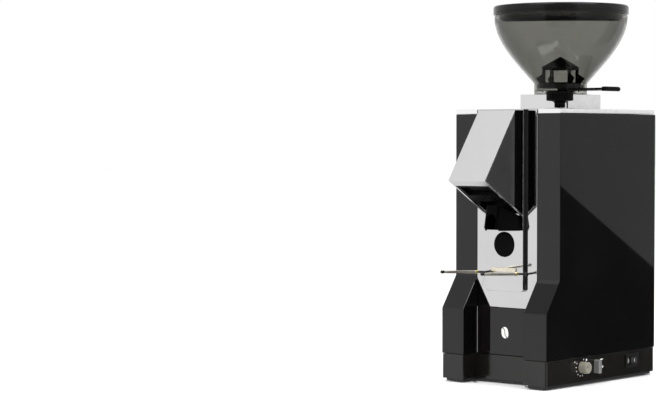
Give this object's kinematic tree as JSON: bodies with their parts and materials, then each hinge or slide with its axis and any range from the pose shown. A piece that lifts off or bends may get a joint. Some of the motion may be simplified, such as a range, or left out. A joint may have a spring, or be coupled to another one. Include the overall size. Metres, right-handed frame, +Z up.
{
  "type": "burr coffee grinder",
  "caption": "Upright electric burr coffee grinder with smoked bean hopper, wedge-shaped front chute, portafilter fork, start button and dosing timer.",
  "frame": {"origin": "middle of the footprint box of the whole machine, on the bench", "axes": "+X to the right seen from the front, +Y to the back, +Z up"},
  "size_m": [0.1332, 0.2308, 0.3566],
  "materials": {
    "black_enamel": "deep black high-gloss enamel on sheet steel",
    "polished_chrome": "mirror-polished chrome",
    "gloss_black": "glossy black",
    "black_plastic": "satin black moulded plastic",
    "black_rubber": "matt black rubber",
    "smoked_clear": "transparent grey-smoked polycarbonate, glossy",
    "smoked_dark": "dark smoked plastic, glossy",
    "sleeve_metal": "pale satin brass tube",
    "rest_rubber": "pale beige rubber strip",
    "wire_steel": "dark steel wire",
    "machined_steel": "machined steel",
    "cast_aluminium": "cast and turned aluminium",
    "copper_winding": "lacquered copper wire",
    "ivory_plastic": "ivory moulded plastic",
    "grey_plastic": "mid-grey moulded plastic",
    "circuit_board": "green laminate"
  },
  "bodies": {
    "housing": {"body_shell": "black_enamel", "rear_cover": "black_enamel", "top_plate": "polished_chrome", "front_panel": "polished_chrome", "spout_plate": "polished_chrome", "chute_cover": "polished_chrome", "hopper_collar": "polished_chrome", "lower_fascia": "gloss_black", "chute_body": "gloss_black", "base_plinth": "black_plastic", "base_plate": "black_plastic", "chute_base": "black_plastic", "chute_liner": "black_plastic", "spout": "black_plastic", "outlet_duct": "black_plastic", "start_microswitch": "black_plastic", "mode_switch": "black_plastic", "rocker_housing": "black_plastic", "foot_front_left": "black_rubber", "foot_front_right": "black_rubber", "foot_rear_left": "black_rubber", "foot_rear_right": "black_rubber", "cable_gland": "black_rubber", "fork_sleeve_left": "sleeve_metal", "fork_sleeve_right": "sleeve_metal", "portafilter_rest": "rest_rubber", "fork_wire": "wire_steel", "motor_frame": "machined_steel", "motor_stator": "machined_steel", "upper_bearing": "machined_steel", "lower_bearing": "machined_steel", "index_plate": "cast_aluminium", "grinding_chamber": "cast_aluminium", "upper_end_shield": "cast_aluminium", "lower_end_shield": "cast_aluminium", "run_capacitor": "cast_aluminium", "timer_potentiometer": "cast_aluminium", "winding_upper": "copper_winding", "winding_lower": "copper_winding", "timer_board": "circuit_board"},
    "hopper": {"hopper_bowl": "smoked_clear", "finger_guard": "black_plastic"},
    "lid": {"hopper_lid": "smoked_dark", "lid_gasket": "black_rubber"},
    "gate": {"hopper_gate": "black_plastic"},
    "adjust_ring": {"adjusting_ring": "machined_steel"},
    "adjuster": {"adjust_knob": "black_plastic", "adjust_spindle": "machined_steel"},
    "burr_carrier": {"upper_burr_carrier": "cast_aluminium", "upper_burr": "machined_steel"},
    "rotor": {"motor_shaft": "machined_steel", "motor_rotor": "machined_steel", "lower_burr_carrier": "cast_aluminium", "lower_burr": "machined_steel", "cooling_fan": "black_plastic"},
    "button": {"start_button": "gloss_black"},
    "timer": {"timer_knob": "ivory_plastic"},
    "selector": {"mode_selector": "grey_plastic"},
    "rocker": {"rocker_switch": "gloss_black"}
  },
  "joints": [
    {"name": "hopper_lift", "type": "slide", "parent": "housing", "child": "hopper", "axis": [0, 0, 1], "range_m": [0, 0.03]},
    {"name": "lid_lift", "type": "slide", "parent": "hopper", "child": "lid", "axis": [0, 0, 1], "range_m": [0, 0.03]},
    {"name": "gate_slide", "type": "slide", "parent": "hopper", "child": "gate", "axis": [1, 0, 0], "range_m": [-0.021, 0.01]},
    {"name": "adjust_ring_turn", "type": "hinge", "parent": "housing", "child": "adjust_ring", "pos_m": [-0.002, 0.0396, 0.2405], "axis": [0, 0, 1], "range_deg": [0, 60]},
    {"name": "adjust_knob_turn", "type": "hinge", "parent": "housing", "child": "adjuster", "pos_m": [0.0281, -0.00433, 0.268], "axis": [0, 0, 1], "range_deg": [-330, 0]},
    {"name": "burr_carrier_rise", "type": "slide", "parent": "housing", "child": "burr_carrier", "axis": [0, 0, 1], "range_m": [0, 0.00055]},
    {"name": "rotor_spin", "type": "hinge", "parent": "housing", "child": "rotor", "pos_m": [-0.002, 0.0396, 0.15], "axis": [0, 0, 1], "continuous": true},
    {"name": "start_press", "type": "slide", "parent": "housing", "child": "button", "axis": [0, 1, 0], "range_m": [0, 0.003], "stiffness_N_per_m": 400, "springref_m": -0.003},
    {"name": "timer_turn", "type": "hinge", "parent": "housing", "child": "timer", "pos_m": [0.0584, -0.0112, 0.0173], "axis": [1, 0, 0], "range_deg": [0, 270]},
    {"name": "selector_turn", "type": "hinge", "parent": "housing", "child": "selector", "pos_m": [0.0584, 0.0116, 0.0164], "axis": [1, 0, 0], "range_deg": [-90, 0]},
    {"name": "rocker_tilt", "type": "hinge", "parent": "housing", "child": "rocker", "pos_m": [0.055, 0.07235, 0.017], "axis": [0, 0, 1], "range_deg": [0, 18]}
  ],
  "couplings": [
    {"joint": "adjust_knob_turn", "follows": "adjust_ring_turn", "ratio": -5.4545},
    {"joint": "burr_carrier_rise", "follows": "adjust_ring_turn", "m_per_rad": 0.00047746}
  ]
}
